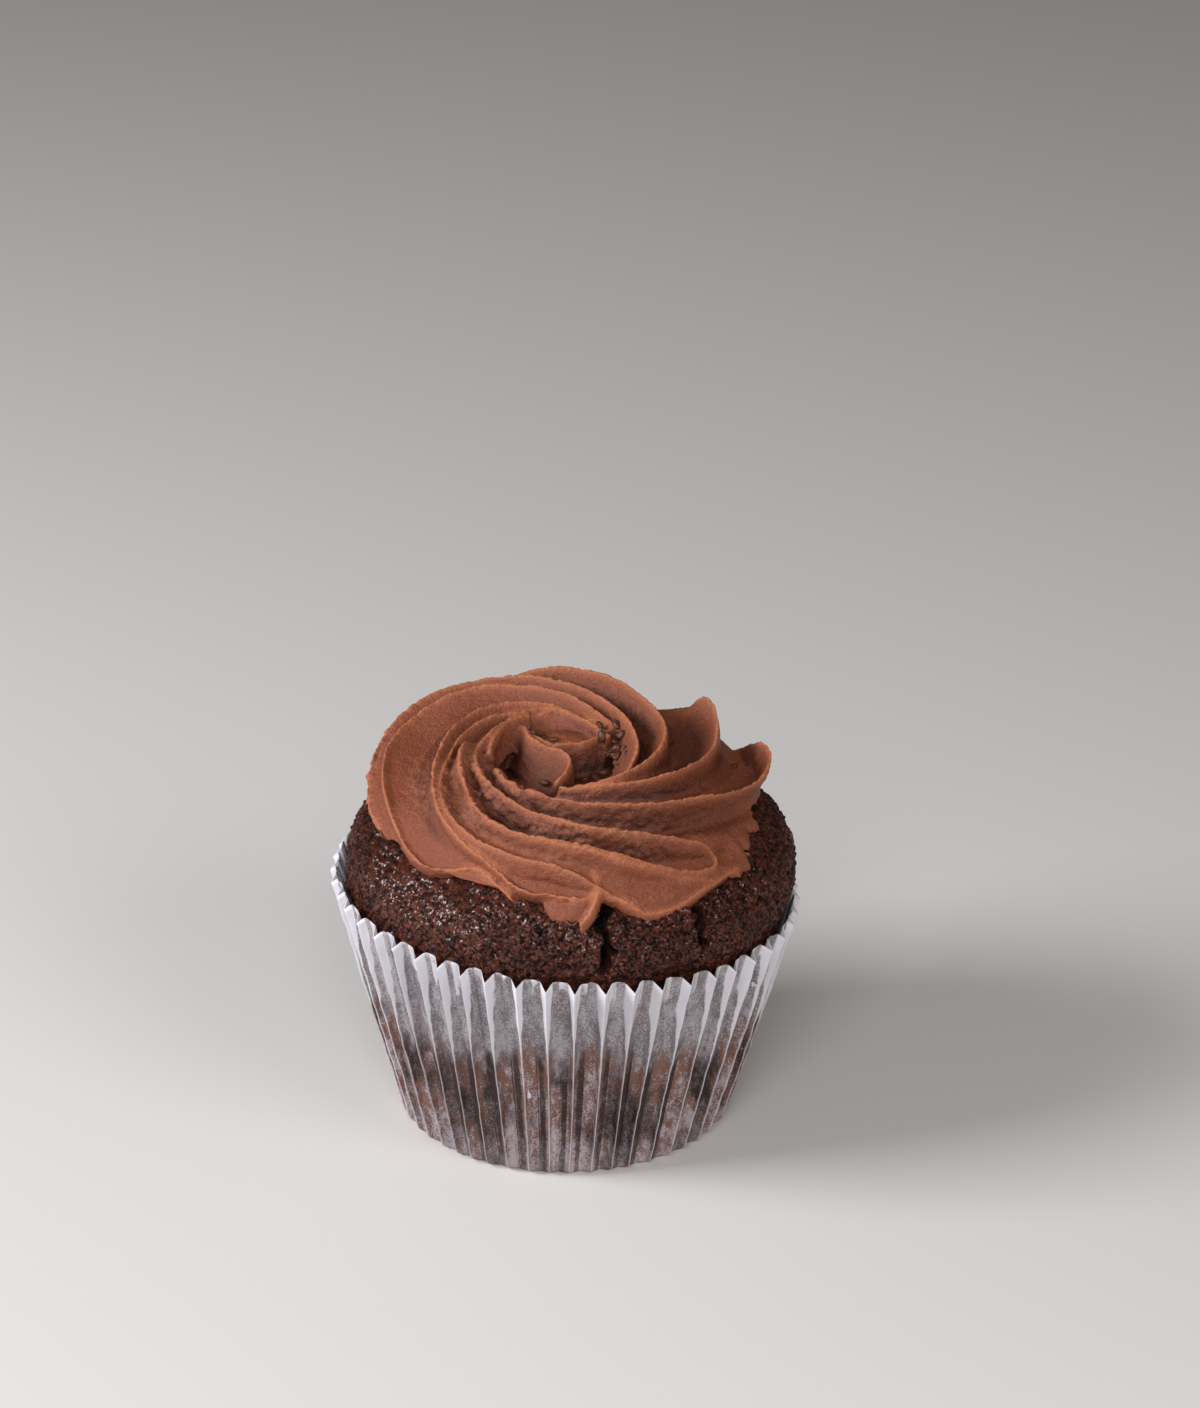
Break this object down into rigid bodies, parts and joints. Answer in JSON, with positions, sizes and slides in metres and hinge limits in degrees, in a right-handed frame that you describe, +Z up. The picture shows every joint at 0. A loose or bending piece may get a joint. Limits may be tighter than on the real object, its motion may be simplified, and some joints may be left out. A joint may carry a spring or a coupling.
{
  "type": "cupcake",
  "caption": "Chocolate cupcake in a pleated white paper case, with a cracked domed top and a piped rosette of chocolate frosting.",
  "frame": {"origin": "centre of the case's flat underside, which stands on z = 0", "axes": "+Z up, front towards -Y, +X to the right when seen from the front"},
  "size_m": [0.0704, 0.0703, 0.0613],
  "materials": {
    "paper": "pleated greaseproof paper, clean white at the rim, darkened by butter where it touches the cake",
    "sponge": null,
    "frosting": null
  },
  "bodies": {
    "root": {"paper_case": "paper", "sponge": "sponge", "frosting": "frosting"}
  },
  "joints": []
}
